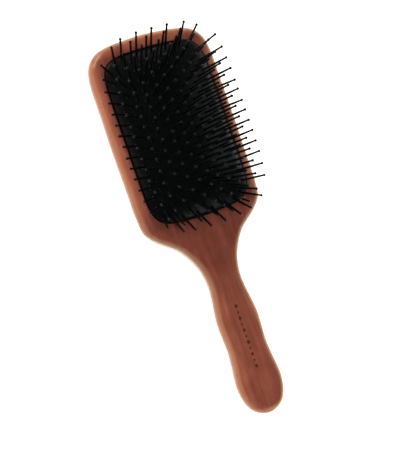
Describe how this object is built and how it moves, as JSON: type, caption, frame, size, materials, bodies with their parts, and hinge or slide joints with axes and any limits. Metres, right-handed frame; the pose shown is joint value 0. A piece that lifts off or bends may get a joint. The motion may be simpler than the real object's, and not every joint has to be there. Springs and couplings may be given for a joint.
{
  "type": "paddle hair brush",
  "caption": "Wooden paddle hair brush with a domed rubber air cushion and fanned ball-tipped pins; the cushion and its pins press in and spring back.",
  "frame": {"origin": "middle of the brush's outline on the flat back it lies on", "axes": "+Y along the brush towards the head end, +Z out of the pin side, +X across the head"},
  "size_m": [0.0828, 0.249, 0.0431],
  "materials": {
    "stained_wood": "satin varnish over reddish-brown stain",
    "black_rubber": "satin moulded rubber",
    "black_nylon": "smooth moulded nylon"
  },
  "bodies": {
    "paddle": {"wooden_paddle": "stained_wood", "air_cushion": "black_rubber"},
    "crown_pins": {"pin_row_05_middle": "black_nylon", "pin_row_06_middle": "black_nylon", "pin_row_07_middle": "black_nylon", "pin_row_08_middle": "black_nylon", "pin_row_09_middle": "black_nylon"},
    "flank_pins": {"pin_row_03_middle": "black_nylon", "pin_row_04_middle": "black_nylon", "pin_row_10_middle": "black_nylon", "pin_row_11_middle": "black_nylon"},
    "shoulder_pins": {"pin_row_02_middle": "black_nylon", "pin_row_04_head_end": "black_nylon", "pin_row_04_handle_end": "black_nylon", "pin_row_05_head_end": "black_nylon", "pin_row_05_handle_end": "black_nylon", "pin_row_06_head_end": "black_nylon", "pin_row_06_handle_end": "black_nylon", "pin_row_07_head_end": "black_nylon", "pin_row_07_handle_end": "black_nylon", "pin_row_08_head_end": "black_nylon", "pin_row_08_handle_end": "black_nylon", "pin_row_09_head_end": "black_nylon", "pin_row_09_handle_end": "black_nylon", "pin_row_10_head_end": "black_nylon", "pin_row_10_handle_end": "black_nylon", "pin_row_12_middle": "black_nylon"},
    "edge_pins": {"pin_row_01_head_end": "black_nylon", "pin_row_01_middle": "black_nylon", "pin_row_01_handle_end": "black_nylon", "pin_row_02_head_end": "black_nylon", "pin_row_02_handle_end": "black_nylon", "pin_row_03_head_end": "black_nylon", "pin_row_03_handle_end": "black_nylon", "pin_row_11_head_end": "black_nylon", "pin_row_11_handle_end": "black_nylon", "pin_row_12_head_end": "black_nylon", "pin_row_12_handle_end": "black_nylon", "pin_row_13_head_end": "black_nylon", "pin_row_13_middle": "black_nylon", "pin_row_13_handle_end": "black_nylon"}
  },
  "joints": [
    {"name": "cushion_press", "type": "slide", "parent": "paddle", "child": "crown_pins", "axis": [0, 0, -1], "range_m": [0, 0.004], "stiffness_N_per_m": 1500, "deforming": ["air_cushion"]},
    {"name": "flank_sink", "type": "slide", "parent": "paddle", "child": "flank_pins", "axis": [0, 0, -1], "range_m": [0, 0.00312]},
    {"name": "shoulder_sink", "type": "slide", "parent": "paddle", "child": "shoulder_pins", "axis": [0, 0, -1], "range_m": [0, 0.002]},
    {"name": "edge_sink", "type": "slide", "parent": "paddle", "child": "edge_pins", "axis": [0, 0, -1], "range_m": [0, 0.00112]}
  ],
  "couplings": [
    {"joint": "flank_sink", "follows": "cushion_press", "ratio": 0.78},
    {"joint": "shoulder_sink", "follows": "cushion_press", "ratio": 0.5},
    {"joint": "edge_sink", "follows": "cushion_press", "ratio": 0.28}
  ]
}
